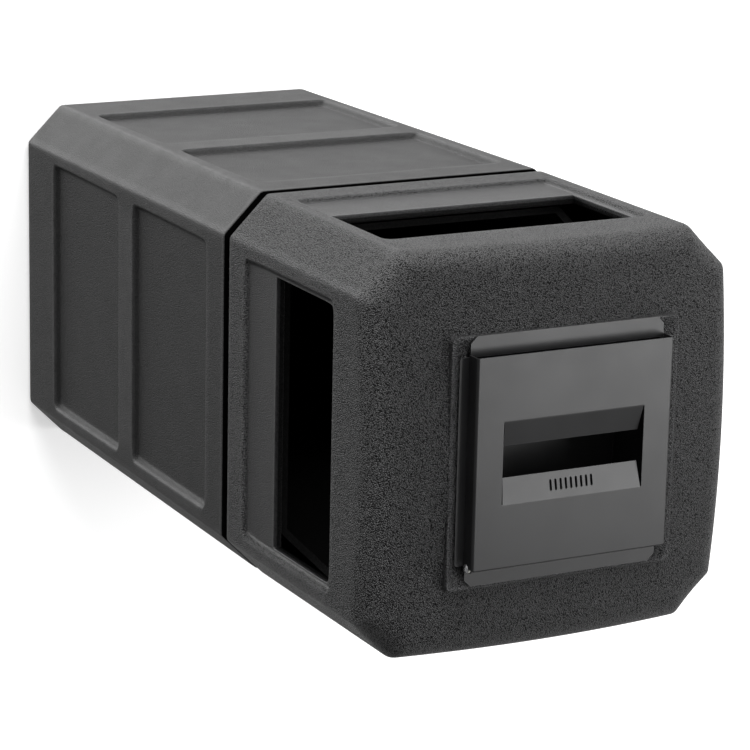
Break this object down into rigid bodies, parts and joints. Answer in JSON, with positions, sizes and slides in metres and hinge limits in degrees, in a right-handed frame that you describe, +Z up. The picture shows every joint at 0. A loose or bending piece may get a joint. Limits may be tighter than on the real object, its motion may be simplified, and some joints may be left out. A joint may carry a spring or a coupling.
{
  "type": "litter bin with ash tray",
  "caption": "Tall octagonal litter bin: tapered panelled base, lift-off hood with a waste mouth in every side, rigid liner inside and a hinged steel ash lid on top.",
  "frame": {"origin": "centre of the bin's footprint, on the floor it stands on", "axes": "+Z up along the bin, towards the ash lid; -Y is the front; the ash lid is hinged on the +X side, along Y"},
  "size_m": [0.47, 0.47, 1.0756],
  "materials": {
    "base_plastic": "fine satin grain",
    "hood_plastic": "pebbled grain",
    "liner_plastic": "smooth satin",
    "coated_steel": "satin powder coat",
    "bright_steel": "bright rivet and screw steel",
    "washer_nylon": "plain nylon"
  },
  "bodies": {
    "base": {"base_shell": "base_plastic", "liner": "liner_plastic"},
    "hood": {"hood_shell": "hood_plastic", "ash_housing": "coated_steel", "ash_bucket": "coated_steel", "housing_screws": "bright_steel", "housing_washers": "bright_steel", "housing_nuts": "bright_steel"},
    "lid": {"ash_lid": "coated_steel", "hinge_rivet_front": "bright_steel", "hinge_rivet_back": "bright_steel", "hinge_washer_front": "washer_nylon", "hinge_washer_back": "washer_nylon"}
  },
  "joints": [
    {"name": "hood_lift", "type": "slide", "parent": "base", "child": "hood", "axis": [0, 0, 1], "range_m": [0, 0.16]},
    {"name": "ash_lid_hinge", "type": "hinge", "parent": "hood", "child": "lid", "pos_m": [0.118, 0, 1.062], "axis": [0, 1, 0], "range_deg": [0, 105]}
  ]
}
